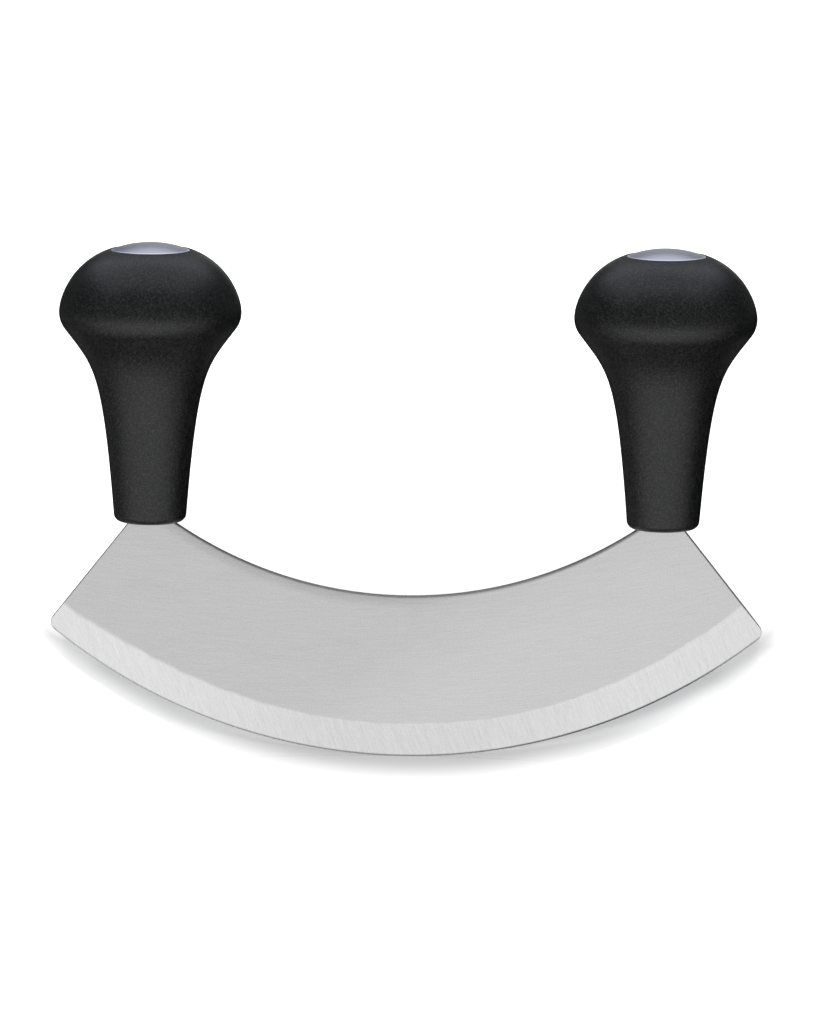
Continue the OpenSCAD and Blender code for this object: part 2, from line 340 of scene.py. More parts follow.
class Lathe(Graph):
    """A geometry tree that turns a profile round an upright axis.

    In the profile, X is the radius and Y the height.
    """

    PATH_RADIUS = 1 * MM
    WELD = 0.005 * MM
    FACETS = 128
    SHARP = math.radians(35)

    def __init__(self, name, sizes):
        super().__init__(bpy.data.node_groups.new(name, "GeometryNodeTree"))
        self.tree.is_modifier = True
        self.identifiers = {}
        for prop in sizes.__annotations__:
            rna = sizes.bl_rna.properties[prop]
            made = self.add_input(prop, rna.name, "Float")
            made.description, made.default_value = rna.description, getattr(sizes, prop)
        self.add_input("sides", "Sides", "Int").default_value = self.FACETS
        self.add_input("material", "Material", "Material")
        self.tree.interface.new_socket(name="Geometry", in_out="OUTPUT", socket_type="NodeSocketGeometry")
        outputs = self.node("NodeGroupInput").outputs
        values = {prop: Value(self, output) for prop, output in zip(self.identifiers, outputs)}
        self.size = SimpleNamespace(**values)

    def add_input(self, prop, name, kind):
        """Adds an input to the tree and keeps its identifier."""
        made = self.tree.interface.new_socket(name=name, in_out="INPUT", socket_type="NodeSocket" + kind)
        self.identifiers[prop] = made.identifier
        return made

    def line(self, start, end):
        """A straight curve."""
        places = self.point(*start), self.point(*end)
        return self.output("GeometryNodeCurvePrimitiveLine", *places, mode="POINTS")

    def bezier(self, steps, *points):
        """A curve through a start, two handles and an end."""
        places = [self.point(*place) for place in points]
        return self.output("GeometryNodeCurvePrimitiveBezierSegment", steps, *places, mode="POSITION")

    def arc(self, steps, centre, radius, first, last):
        """A circular arc from one angle to another, in radians from the X axis."""
        reach = self.math("TANGENT", (last - first) / 4.0) * radius * (4.0 / 3.0)
        places = []
        for turn, way in ((first, 1.0), (last, -1.0)):
            cos, sin = self.cos(turn), self.sin(turn)
            on = (centre[0] + radius * cos, centre[1] + radius * sin)
            off = (on[0] - reach * sin * way, on[1] + reach * cos * way)
            places.append((on, off))
        (start, leave), (end, arrive) = places
        return self.bezier(steps, start, leave, arrive, end)

    def end(self, curve, factor=1.0):
        """Place at this share of a curve's length."""
        sample = self.node("GeometryNodeSampleCurve", curve, None, factor, mode="FACTOR")
        return self.parts(sample.outputs[1])[:2]

    def ahead(self, place, reach, turn):
        """Place at this distance, at a turn from the upright."""
        return place[0] + reach * self.sin(turn), place[1] + reach * self.cos(turn)

    def join(self, *curves):
        """These curves as one geometry, in this order."""
        made = self.node("GeometryNodeJoinGeometry")
        for curve in reversed(curves):
            self.tree.links.new(curve, made.inputs[0])
        return made.outputs[0]

    def turn(self, profile):
        """Sweeps the profile round the axis and closes its seams and poles."""
        sides, reach = self.size.sides, self.PATH_RADIUS
        circle = self.output("GeometryNodeCurvePrimitiveCircle", sides, reach, mode="RADIUS")
        path = self.output("GeometryNodeSetCurveNormal", circle, mode="Z_UP")
        profile = self.output("GeometryNodeSetPosition", profile, None, None, self.point(-reach, 0.0))
        swept = self.output("GeometryNodeCurveToMesh", path, profile)

        # The sweep comes out upside down
        axis, over = self.point(self.size.axis, 0.0), (math.pi, 0.0, 0.0)
        moved = self.output("GeometryNodeTransform", swept, axis, over, mode="COMPONENTS")
        return self.output("GeometryNodeMergeByDistance", moved, None, self.WELD)

    def finish(self, mesh):
        """Shades the mesh, gives it its material and sends it out."""
        bend = self.value("GeometryNodeInputMeshEdgeAngle")
        gentle = self.math("LESS_THAN", bend, self.SHARP)
        mesh = self.output("GeometryNodeSetShadeSmooth", mesh, None, True, domain="FACE")
        mesh = self.output("GeometryNodeSetShadeSmooth", mesh, None, gentle, domain="EDGE")
        mesh = self.output("GeometryNodeRealizeInstances", mesh)
        mesh = self.output("GeometryNodeSetMaterial", mesh, None, self.size.material)
        self.node("NodeGroupOutput", mesh)

    def piece(self, name, values, material):
        """Runs the tree with these values and returns its result as a plain mesh object."""
        carrier = added(name + "_lathe", bpy.data.meshes.new(name + "_lathe"))
        modifier = carrier.modifiers.new("Lathe", "NODES")
        modifier.node_group = self.tree
        for prop, value in values.items():
            modifier[self.identifiers[prop]] = value
        modifier[self.identifiers["material"]] = material
        evaluated = carrier.evaluated_get(bpy.context.evaluated_depsgraph_get())
        mesh = bpy.data.meshes.new_from_object(evaluated)
        carrier.modifiers.clear()
        bpy.data.objects.remove(carrier)
        return placed(name, mesh)


def added(name, data):
    """A new object in the scene."""
    made = bpy.data.objects.new(name, data)
    bpy.context.scene.collection.objects.link(made)
    return made


def placed(name, mesh):
    """Puts a finished mesh in the scene."""
    if not mesh.polygons:
        raise RuntimeError(f"{name} came out empty")
    mesh.name = name
    return added(name, mesh)


def fitted(piece, node):
    """The piece rides on the object and stands in for its node, which is hidden."""
    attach(piece, "root")
    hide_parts(node)


# Finishes


class Finish(Graph):
    """A material with one principled shader, built on object coordinates."""

    def __init__(self, name):
        self.material = bpy.data.materials.new(name)
        self.material.use_nodes = True
        super().__init__(self.material.node_tree)
        self.shader = self.tree.nodes["Principled BSDF"]
        self.place = self.node("ShaderNodeTexCoord").outputs["Object"]
        self.x, self.y, self.z = self.parts(self.place)

    def bump(self, height, depth, strength=1.0):
        """Relief of this depth in metres."""
        made = self.node("ShaderNodeBump")
        for name, value in (("Strength", strength), ("Distance", depth), ("Height", height)):
            self.feed(made.inputs[name], value)
        self.feed(self.shader.inputs["Normal"], made.outputs[0])

    def set(self, **values):
        """Feeds the shader's inputs by name, with _ for a space."""
        for name, value in values.items():
            self.feed(self.shader.inputs[name.replace("_", " ")], value)
        return self.material


# The brush lines' arcs: the middle that they share, and the radius of the one across the face
BRUSH_CENTRE = (-23.5 * MM, 481 * MM)
BRUSH_RADIUS = 456 * MM


def blade_steel(shape, colours):
    """Brushed sheet and a ground bevel, with painted highlights and painted shade along the edges."""
    steel, blade = Finish("Brushed blade steel"), shape.sizes
    x, y, z = steel.x, steel.y, steel.z
    from_centre = steel.distance(x, z - blade.edge_radius)
    below_spine = steel.distance(x, z - shape.spine_centre.y) - shape.spine_radius

    # The bevel's colour, lighter as a painted highlight, and its grind lines reach a little past the
    # crease at the right end and stop short of it at the left one
    bevel_line = blade.edge_radius - blade.bevel_width
    # Painted light by the crease: face colour on the bevel's slope is darker, bevel colour on the flat
    # face lighter
    crease = steel.smooth(from_centre, bevel_line - 0.25 * MM, bevel_line + 0.25 * MM)
    wander = steel.noise(steel.point(x, y, 0.0), 220.0, 3.0) - 0.5
    wide = steel.ramp(x, 25, 80) * 1.1 - steel.ramp(x, -66, -90) * 1.7
    wide = wide + wander * 1.2 + 0.25
    soft = 0.35 + steel.ramp(x, 0, -70) * 0.35
    ground = steel.smooth(from_centre - bevel_line + wide * MM, soft * -MM, soft * MM)

    # Brush lines run along flat arcs, lower in the middle
    arc_x, arc_z = x - BRUSH_CENTRE[0], BRUSH_CENTRE[1] - z
    along = steel.math("ARCTAN2", arc_x, arc_z) * BRUSH_RADIUS
    across = steel.distance(arc_x, arc_z)
    fine = steel.streaks(along * 160.0, across * 5200.0, y * 50.0, 2.0)
    broad = steel.streaks(along * 60.0, across * 1600.0, y * 50.0)
    cloud = steel.streaks(along * 60.0, across * 160.0, y * 50.0, 3.0, 0.55)
    scuff = steel.noise(steel.point(x, y, z), 2600.0, 2.0)
    brush = steel.bolder(fine * 0.3 + broad * 0.14 + cloud * 0.08 + scuff * 0.36 + 0.06, 2.3)

    # Grind lines cross the bevel and lean a little
    lean = math.radians(22)
    beside = x * math.cos(lean) + z * math.sin(lean)
    down = z * math.cos(lean) - x * math.sin(lean)
    wheel = steel.streaks(beside * 4200.0, down * 260.0, y * 50.0, 2.0)
    chatter = steel.streaks(beside * 900.0, down * 60.0, y * 50.0)
    grind = steel.bolder(wheel * 0.45 + chatter * 0.3 + scuff * 0.25, 2.6)

    # Painted shade along every edge: dark where the sheet was cut, under the spine and on the honed strip
    edge = Value(steel, steel.node("ShaderNodeAttribute", attribute_name="cut_edge").outputs["Fac"])
    hone = 0.13 + steel.ramp(x, -80, -20) * 0.25 + steel.ramp(x, 0, 50) * 0.55
    hone = hone * (1.0 - steel.ramp(x, 68, 84) * 0.5)
    hone = hone * steel.smooth(from_centre, blade.edge_radius - 0.62 * MM, blade.edge_radius - 0.25 * MM)
    line = 0.14 + steel.ramp(x, -10, 30) * 0.44
    edge = steel.largest(edge, steel.ramp(below_spine, 0.9, 0.3) * line, hone)
    # Painted shade: the face darker just under the spine, on the left half
    painted_spine_shade = steel.ramp(below_spine, 3.6, 0.6) * steel.ramp(x, 22, -6) * 0.17
    # Painted light: the face lighter towards the right and lower down
    painted_face_light = steel.ramp(x - (z - 20 * MM) * 1.5, -25, 20)
    # Painted highlight: the bevel lighter towards both ends, and more so at the left
    ends = steel.ramp(abs(x + 6 * MM), 15, 70) * 0.08 + steel.ramp(x, -15, -45) * 0.04
    face = (0.76 + brush * 0.52 + painted_face_light * 0.085) * (1.0 - crease * 0.13) - painted_spine_shade
    face = steel.tinted(colours.face, face)
    bevel = steel.tinted(colours.bevel, (0.74 + grind * 0.43 + ends) * (1.13 - crease * 0.13))
    # Painted highlight: the cut edge lighter high up, in the middle and by the necks
    painted_edge_highlight = steel.ramp(abs(x), 52, 26) + steel.ramp(abs(x), 62, 68) * 4.0
    painted_edge_highlight = painted_edge_highlight * steel.ramp(z, 26, 38)
    cut = steel.tinted(colours.edge, 0.7 + scuff * 0.6 + painted_edge_highlight * 0.9)
    base = steel.blend(edge, steel.blend(ground, face, bevel), cut)
    lines = steel.blend(ground, brush, grind)
    rough = steel.blend(edge, 0.3 + lines * 0.16, 0.4 + scuff * 0.15)
    steel.bump(lines, 0.006 * MM, 0.6)
    return steel.set(Base_Color=base, Metallic=1.0, Roughness=rough)


def sleeve_rubber(grip, colours):
    """Matte black with a fine speckled grain, duller round the cap and darker there as painted shade."""
    rubber = Finish("Soft black rubber")
    from_axis = rubber.distance(abs(rubber.x) - grip.axis, rubber.y)
    # Round the cap the rubber is rougher, and darker as painted shade
    mouth = rubber.ramp(from_axis, 15, 10.5) * rubber.ramp(rubber.z, 110, 118)
    grain = rubber.noise(rubber.place, 2400.0, 3.0, 0.7)
    speck = rubber.bolder(grain, 8.0)
    haze = rubber.noise(rubber.place, 90.0, 3.0)
    sleeve = Vector(colours.sleeve)
    cool, warm = sleeve * Vector((0.85, 1.0, 1.2)), sleeve * Vector((1.15, 1.0, 0.8))
    hue = rubber.bolder(rubber.noise(rubber.place, 1500.0, 2.0), 2.5)
    base = rubber.largest(speck * 2.2 + haze - 0.6 - mouth * 0.5, 0.05)
    base = rubber.tinted(rubber.blend(hue, tuple(cool), tuple(warm)), base)
    rubber.bump(grain, 0.08 * MM, 0.6)
    rough = 0.29 + grain * 0.08 + haze * 0.04 + mouth * 0.22
    return rubber.set(Base_Color=base, Roughness=rough, Specular_IOR_Level=0.47)


def turned_rings(finish, axis, scale):
    """Fine rings round both grips' axes."""
    from_axis = finish.distance(abs(finish.x) - axis, finish.y)
    return finish.streaks(from_axis * scale, 0.0, 0.0)


def cap_steel(cap, colours):
    """Satin steel with faint turned rings and a painted highlight round the rim."""
    steel = Finish("Satin cap steel")
    from_axis = steel.distance(abs(steel.x) - cap.axis, steel.y)
    # Painted highlight: the rim lighter than the dome
    rim = steel.smooth(from_axis, cap.radius - 0.8 * MM, cap.radius - 0.4 * MM)
    rings = turned_rings(steel, cap.axis, 3200.0)
    satin = steel.noise(steel.place, 3600.0, 2.0, 0.6)
    base = steel.tinted(colours.cap, 0.96 + rings * 0.08 + satin * 0.1 + rim * 0.85)
    steel.bump(rings * 0.5 + satin * 0.5, 0.004 * MM, 0.5)
    return steel.set(Base_Color=base, Metallic=1.0, Roughness=0.3 + satin * 0.1)


def core_plastic(colours):
    """Plain moulded plastic with soft flow marks."""
    plastic = Finish("Moulded grey core")
    flow = plastic.noise(plastic.point(plastic.x, plastic.y, plastic.z * 0.3), 160.0, 4.0, 0.6)
    grain = plastic.noise(plastic.place, 1800.0, 2.0)
    base = plastic.tinted(colours.core, 0.75 + flow * 0.35 + grain * 0.15)
    plastic.bump(grain, 0.03 * MM, 0.4)
    return plastic.set(Base_Color=base, Roughness=0.45 + flow * 0.15)


def fastener_steel(axis, colours):
    """Bright turned steel."""
    steel = Finish("Turned fastener steel")
    rings = turned_rings(steel, axis, 2400.0)
    feed = steel.streaks(0.0, 0.0, steel.z * 3000.0, 2.0, 0.5)
    stain = steel.noise(steel.place, 300.0, 3.0)
    base = steel.tinted(colours.fastener, 0.8 + rings * 0.12 + feed * 0.12 + stain * 0.15)
    steel.bump(rings * 0.5 + feed * 0.5, 0.008 * MM, 0.5)
    return steel.set(Base_Color=base, Metallic=1.0, Roughness=0.26 + stain * 0.16)


# The blade


def rounding(depth, size):
    """How far a rounded edge falls back at this depth behind it."""
    return size - math.sqrt(max(size * size - (size - depth) ** 2, 0.0)) if depth < size else 0.0


class BladeShape:
    """The blade's outline and thickness, from its sizes. All lengths are in metres."""

    SPINE_STEPS, NECK_STEPS, FACE_ROWS = 84, 16, 13
    # Millimetres behind a cut edge, and past the crease, at which the mesh has its finer rows
    NEAR_EDGE = (0.0, 0.05, 0.11, 0.22, 0.34)
    NEAR_CREASE = (-0.25, 0.0, 0.25, 1.2, 2.2, 3.2, 4.2, 5.0)
    # Degrees round the tip, from its farthest point
    TIP_TURNS = (90, 80, 70, 61, 52, 44, 36, 28, 20, 13, 6, 0)
    TANG_SHOULDER, TANG_BREAK, TANG_THINNING = 4.4 * MM, 0.4 * MM, 0.3 * MM

    def __init__(self, sizes, grip_axis):
        self.sizes, self.grip_axis = sizes, grip_axis
        half, top = sizes.length / 2, sizes.neck_top
        self.full_top = top + sizes.relief
        self.neck_x = grip_axis - sizes.neck_inset
        spine_x = self.neck_x - sizes.neck_width / 2
        end_x = self.neck_x + sizes.neck_width / 2
        lift = self.full_top - sizes.depth
        self.spine_radius = (spine_x**2 + lift**2) / (2 * lift)
        self.spine_centre = Vector((0.0, sizes.depth + self.spine_radius))
        self.edge_centre = Vector((0.0, sizes.edge_radius))
        tip_x = half - sizes.tip_radius
        drop = math.sqrt((sizes.edge_radius - sizes.tip_radius) ** 2 - tip_x**2)
        self.tip = Vector((tip_x, sizes.edge_radius - drop))
        self.end_start = Vector((end_x, self.full_top))
        reach = self.tip - self.end_start
        self.end_angle = math.atan2(reach.x, -reach.y) + math.asin(sizes.tip_radius / reach.length)
        self.end_way = Vector((math.sin(self.end_angle), -math.cos(self.end_angle)))
        self.end_normal = Vector((math.cos(self.end_angle), math.sin(self.end_angle)))
        self.tip_angle = math.atan2(sizes.edge_radius - self.tip.y, tip_x)

    def half_thickness(self, place):
        """Half the thickness of the ground sheet, before its edges are rounded."""
        s = self.sizes
        out = (place - self.edge_centre).length
        bevel, hone = s.edge_radius - s.bevel_width, s.edge_radius - s.hone_width
        if out <= bevel:
            return s.thickness / 2
        if out <= hone:
            share = (out - bevel) / (hone - bevel)
            return s.thickness / 2 + (s.bevel_end - s.thickness) / 2 * share
        share = min((out - hone) / s.hone_width, 1.0)
        return s.bevel_end / 2 + (s.edge_thickness - s.bevel_end) / 2 * share

    def behind_end(self, place):
        """Depth behind the straight end or the rounded tip, on the right side."""
        from_tip = place - self.tip
        turn = math.atan2(from_tip.y, from_tip.x)
        away = from_tip.length > 0.3 * self.sizes.tip_radius
        if away and -self.tip_angle - 0.3 < turn < self.end_angle:
            return self.sizes.tip_radius - from_tip.length
        return (self.end_start - place).dot(self.end_normal)

    def surface(self, x, z):
        """Half thickness at a place, and how much of it is cut or rounded edge, from 0 to 1."""
        s = self.sizes
        place = Vector((abs(x), z))
        half = self.half_thickness(place)
        size = min(s.deburr, 0.5 * half)
        spine = (place - self.spine_centre).length - self.spine_radius
        end = max(self.behind_end(place), 0.0)
        fall = max(rounding(max(spine, 0.0), size), rounding(end, size))
        share = max(fall / size, rounding(end, s.deburr) / s.deburr)
        if place.x > self.neck_x - s.neck_width / 2 - 0.3 * MM and z > s.neck_top - s.relief:
            neck = rounding(max(s.neck_top - z, 0.0), s.relief)
            fall = max(neck, min(fall, s.relief))
        return half - fall, share

    def end_at(self, out):
        """Place on the straight end or the tip's rounding at this distance from the edge's centre."""
        start = self.end_start - self.edge_centre
        along = start.dot(self.end_way)
        line = -along + math.sqrt(along**2 - start.length_squared + out**2)
        place = self.end_start + line * self.end_way
        if (place - self.tip).dot(self.end_way) <= 0.0:
            return place
        away = self.edge_centre - self.tip
        gap, r = away.length, self.sizes.tip_radius
        cos = (gap**2 + r**2 - out**2) / (2 * gap * r)
        turn = math.atan2(away.y, away.x) - math.acos(max(min(cos, 1.0), -1.0))
        return self.tip + r * Vector((math.cos(turn), math.sin(turn)))

    def top_row(self):
        """Places along the spine and the neck's top, from the middle to the right end."""
        s = self.sizes
        top = s.neck_top - self.spine_centre.y
        corner = math.atan2(math.sqrt(self.spine_radius**2 - top**2), -top)
        row = []
        for step in range(self.SPINE_STEPS + 1):
            turn = corner * step / self.SPINE_STEPS
            row.append(self.spine_centre + self.spine_radius * Vector((math.sin(turn), -math.cos(turn))))
        first = row[-1].x
        last = self.end_start.x + s.relief * math.tan(self.end_angle)
        margins = [depth * MM / self.end_normal.x for depth in reversed(self.NEAR_EDGE)]
        for step in range(1, self.NECK_STEPS):
            x = first + (last - margins[0] - first) * step / self.NECK_STEPS
            row.append(Vector((x, s.neck_top)))
        row += [Vector((last - margin, s.neck_top)) for margin in margins]
        return row

    def arc_row(self, out, shares):
        """Places along an arc round the edge's centre, from the middle to the right end."""
        end = self.end_at(out) - self.edge_centre
        whole = math.atan2(end.x, -end.y)
        near = [whole - depth * MM / out for depth in reversed(self.NEAR_EDGE)]
        turns = [share * near[0] for share in shares] + near[1:]
        return [self.edge_centre + out * Vector((math.sin(turn), -math.cos(turn))) for turn in turns]

    def rows(self):
        """Rows of places over the right half of the face, from the spine to the edge."""
        s = self.sizes
        top = self.top_row()
        bevel = s.edge_radius - s.bevel_width
        corner = top[self.SPINE_STEPS] - self.edge_centre
        end = self.end_at(bevel) - self.edge_centre
        corner_share = math.atan2(corner.x, -corner.y) / math.atan2(end.x, -end.y)
        shares = [corner_share * step / self.SPINE_STEPS for step in range(self.SPINE_STEPS + 1)]
        for step in range(1, self.NECK_STEPS + 1):
            shares.append(corner_share + (1.0 - corner_share) * step / self.NECK_STEPS)
        first = self.arc_row(bevel + self.NEAR_CREASE[0] * MM, shares)
        rows = []
        for depth in self.NEAR_EDGE:
            rows.append([a + (b - a).normalized() * depth * MM for a, b in zip(top, first)])
        start = rows.pop()
        for step in range(self.FACE_ROWS):
            rows.append([a.lerp(b, step / self.FACE_ROWS) for a, b in zip(start, first)])
        outs = [bevel + step * MM for step in self.NEAR_CREASE]
        tip_out = (self.tip - self.edge_centre).length
        outs += [tip_out + s.tip_radius * math.cos(math.radians(turn)) for turn in self.TIP_TURNS]
        hone = s.edge_radius - s.hone_width
        outs += [hone - 0.06 * MM, hone, s.edge_radius - s.hone_width / 2]
        rows += [self.arc_row(out, shares) for out in sorted(outs)]
        return rows

    def mesh(self):
        """The whole blade with its tangs, as one closed mesh."""
        right = self.rows()
        columns = len(right[0])
        grid = []
        for row in right:
            grid.append([Vector((-p.x, p.y)) for p in reversed(row[1:])] + row)
        width = len(grid[0])
        points, marks, faces = [], [], []

        def add(x, z, half=None, mark=None):
            thick, cut = self.surface(x, z)
            points.append((x, -(thick if half is None else half), z))
            marks.append(cut if mark is None else mark)
            return len(points) - 1

        index = [[add(p.x, p.y) for p in row] for row in grid]
        for upper, lower in zip(index, index[1:]):
            for col in range(width - 1):
                faces.append((upper[col], lower[col], lower[col + 1], upper[col + 1]))
        for sign in SIDES.values():
            self.add_tang(index[0], grid[0], columns - 1, sign, add, faces)
        return close_blade(points, marks, faces)

    def add_tang(self, top, places, middle, sign, add, faces):
        """Carries the neck on into the flat tang."""
        s = self.sizes
        cols = sorted(range(middle + sign * self.SPINE_STEPS, middle + sign * middle + sign, sign))
        first, last = places[cols[0]].x, places[cols[-1]].x
        half = s.thickness / 2 - s.relief
        centre = sign * self.grip_axis
        below = [top[col] for col in cols]
        for z in (s.neck_top + self.TANG_SHOULDER, s.tang_top - self.TANG_BREAK, s.tang_top):
            thick = half - (self.TANG_THINNING if z == s.tang_top else 0.0)
            row = []
            for col in cols:
                share = (places[col].x - first) / (last - first)
                row.append(add(centre + (share - 0.5) * s.tang_width, z, thick, 0.5))
            for a, b, c, d in zip(row, below, below[1:], row[1:]):
                faces.append((a, b, c, d))
            below = row


def close_blade(points, marks, faces):
    """Mirrors the front face to the back, walls the rim and shades by the areas of the faces."""
    count = len(points)
    every = points + [(x, -y, z) for x, y, z in points]
    whole = list(faces) + [tuple(corner + count for corner in reversed(face)) for face in faces]
    ways = set()
    for face in faces:
        for a, b in zip(face, face[1:] + face[:1]):
            ways.add((a, b))
    for a, b in sorted(ways):
        if (b, a) not in ways:
            whole.append((b, a, a + count, b + count))
    mesh = bpy.data.meshes.new("blade")
    mesh.from_pydata(every, [], whole)
    mesh.validate()
    cut = mesh.attributes.new("cut_edge", "FLOAT", "POINT")
    for place, mark in enumerate(marks + marks):
        cut.data[place].value = mark
    totals = [Vector() for _ in every]
    for polygon in mesh.polygons:
        polygon.use_smooth = True
        for corner in polygon.vertices:
            totals[corner] += polygon.normal * polygon.area
    mesh.normals_split_custom_set_from_vertices([total.normalized() for total in totals])
    return mesh


class MEZZALUNA_OT_blade(bpy.types.Operator):
    """Make the blade with its bevels, rounded tips and tangs"""

    bl_idname = "mezzaluna.blade"
    bl_label = "Make the blade"

    def execute(self, context):
        scene = context.scene
        shape = BladeShape(scene.mezzaluna_blade, scene.mezzaluna_grip.axis)
        mesh = shape.mesh()
        blade = placed("brushed_blade", mesh)
        mesh.materials.append(blade_steel(shape, scene.mezzaluna_finish))
        fitted(blade, "blade")
        return {"FINISHED"}


# The grips


def sleeve_lathe(sizes):
    """The tree of a sleeve: a shell whose side is a sweep, a turn and a crown."""
    lathe = Lathe("Grip sleeve", sizes)
    s = lathe.size
    foot_z, radius = s.foot_height, s.foot_diameter / 2.0
    wide, rim_z = s.widest_diameter / 2.0, s.foot_height + s.height
    wide_z, mouth = foot_z + s.widest_height, s.mouth_radius
    crown_cos, crown_sin = lathe.cos(s.crown_angle), lathe.sin(s.crown_angle)

    # Outer side
    low = (radius, foot_z + s.foot_rounding)
    turn_centre = (wide - s.turn_radius, wide_z)
    under = (
        turn_centre[0] + s.turn_radius * lathe.cos(s.turn_angle),
        turn_centre[1] - s.turn_radius * lathe.sin(s.turn_angle),
    )
    reach = lathe.distance(under[0] - low[0], under[1] - low[1])
    leave = lathe.ahead(low, s.taper_reach * reach, s.taper_angle)
    arrive = lathe.ahead(under, -s.underside_reach * reach, s.turn_angle)
    sweep = lathe.bezier(34, low, leave, arrive, under)
    turn = lathe.arc(14, turn_centre, s.turn_radius, -s.turn_angle, 0.0)
    rise = lathe.distance(wide - mouth, rim_z - wide_z)
    slope = s.crown_reach * rise
    crown = lathe.bezier(
        36,
        (wide, wide_z),
        (wide, wide_z + s.shoulder_reach * rise),
        (mouth + slope * crown_cos, rim_z - slope * crown_sin),
        (mouth, rim_z),
    )

    # Broken edge of the mouth
    spare = s.mouth_break / (crown_sin + crown_cos)
    whole = lathe.value("GeometryNodeCurveLength", crown)
    crown_cut = lathe.output("GeometryNodeTrimCurve", crown, None, 0.0, whole - spare, mode="LENGTH")
    lip = lathe.end(crown_cut)
    bend = s.mouth_break * 0.6
    lip_bend = lathe.bezier(
        6,
        lip,
        (lip[0] - bend * crown_cos * 0.5, lip[1] + bend * crown_sin * 0.5),
        (mouth, rim_z - s.mouth_break + bend * 0.7),
        (mouth, rim_z - s.mouth_break),
    )

    # Foot
    toe_centre = (radius - s.foot_rounding, low[1])
    floor = lathe.line((0.0, foot_z), (toe_centre[0], foot_z))
    toe = lathe.arc(9, toe_centre, s.foot_rounding, -math.pi / 2, 0.0)

    # Inner side, a wall's thickness inside the outer one
    whole_side = lathe.output("GeometryNodeCurveToMesh", lathe.join(sweep, turn, crown))
    whole_side = lathe.output("GeometryNodeMergeByDistance", whole_side, None, lathe.WELD)
    side = lathe.output("GeometryNodeMeshToCurve", whole_side)
    tangent = lathe.parts(lathe.output("GeometryNodeInputTangent"))
    inset = lathe.point(-tangent[1] * s.wall, tangent[0] * s.wall)
    side = lathe.output("GeometryNodeSetPosition", side, None, None, inset)
    here = lathe.parts(lathe.output("GeometryNodeInputPosition"))
    above = lathe.math("GREATER_THAN", here[1], wide_z)
    held = lathe.largest(here[0], mouth * above)
    side = lathe.output("GeometryNodeSetPosition", side, None, lathe.point(held, here[1]))
    inner, inner_top = lathe.end(side, 0.0), lathe.end(side)
    mouth_wall = lathe.line((mouth, rim_z - s.mouth_break), inner_top)
    riser = lathe.line((inner[0], foot_z + s.floor), inner)
    inner_floor = lathe.line((0.0, foot_z + s.floor), (inner[0], foot_z + s.floor))
    back = lathe.output("GeometryNodeReverseCurve", lathe.join(inner_floor, riser, side))

    shell = lathe.turn(lathe.join(floor, toe, sweep, turn, crown_cut, lip_bend, mouth_wall, back))
    box = lathe.output("GeometryNodeMeshCube", lathe.point(s.slot_width, s.slot_gap, 4.0 * MM))
    shift = lathe.point(s.axis + s.slot_shift, 0.0, foot_z)
    box = lathe.output("GeometryNodeTransform", box, shift, mode="COMPONENTS")
    slotted = lathe.output("GeometryNodeMeshBoolean", shell, box, operation="DIFFERENCE", solver="EXACT")
    lathe.finish(slotted)
    return lathe


class MEZZALUNA_OT_grip_sleeves(bpy.types.Operator):
    """Turn the two soft sleeves of the grips"""

    bl_idname = "mezzaluna.grip_sleeves"
    bl_label = "Make the grip sleeves"

    def execute(self, context):
        sizes = context.scene.mezzaluna_grip
        lathe = sleeve_lathe(sizes)
        rubber = sleeve_rubber(sizes, context.scene.mezzaluna_finish)
        for side, sign in SIDES.items():
            values = {"axis": sign * sizes.axis, "slot_shift": -sign * sizes.slot_shift}
            sleeve = lathe.piece(f"{side}_sleeve_turned", values, rubber)
            fitted(sleeve, f"{side}_grip_sleeve")
        return {"FINISHED"}


# The end caps


def cap_lathe(sizes):
    """The tree of a cap: a dome of sheet with a rounded rim and a skirt."""
    lathe = Lathe("End cap", sizes)
    s = lathe.size
    centre = s.top - s.dome_radius
    bend_x, bend_reach = s.radius - s.rim_rounding, s.dome_radius - s.rim_rounding
    meet = lathe.math("ARCCOSINE", bend_x / bend_reach)
    bend_z = centre + bend_reach * lathe.sin(meet)
    dome = lathe.arc(24, (0.0, centre), s.dome_radius, math.pi / 2, meet)
    rim = lathe.arc(10, (bend_x, bend_z), s.rim_rounding, meet, 0.0)
    skirt = lathe.line((s.radius, bend_z), (s.radius, s.seat))
    inner, inner_dome = s.radius - s.sheet, s.dome_radius - s.sheet
    inner_meet = lathe.math("ARCCOSINE", inner / inner_dome)
    inner_z = centre + inner_dome * lathe.sin(inner_meet)
    ring = lathe.line((s.radius, s.seat), (inner, s.seat))
    inner_wall = lathe.line((inner, s.seat), (inner, inner_z))
    ceiling = lathe.arc(16, (0.0, centre), inner_dome, inner_meet, math.pi / 2)
    mesh = lathe.turn(lathe.join(dome, rim, skirt, ring, inner_wall, ceiling))
    lathe.finish(lathe.output("GeometryNodeFlipFaces", mesh))
    return lathe


class MEZZALUNA_OT_end_caps(bpy.types.Operator):
    """Turn the two domed end caps"""

    bl_idname = "mezzaluna.end_caps"
    bl_label = "Make the end caps"

    def execute(self, context):
        sizes = context.scene.mezzaluna_cap
        lathe = cap_lathe(sizes)
        steel = cap_steel(sizes, context.scene.mezzaluna_finish)
        for side, sign in SIDES.items():
            cap = lathe.piece(f"{side}_cap_turned", {"axis": sign * sizes.axis}, steel)
            fitted(cap, f"{side}_end_cap")
        return {"FINISHED"}


# The pieces inside the grips


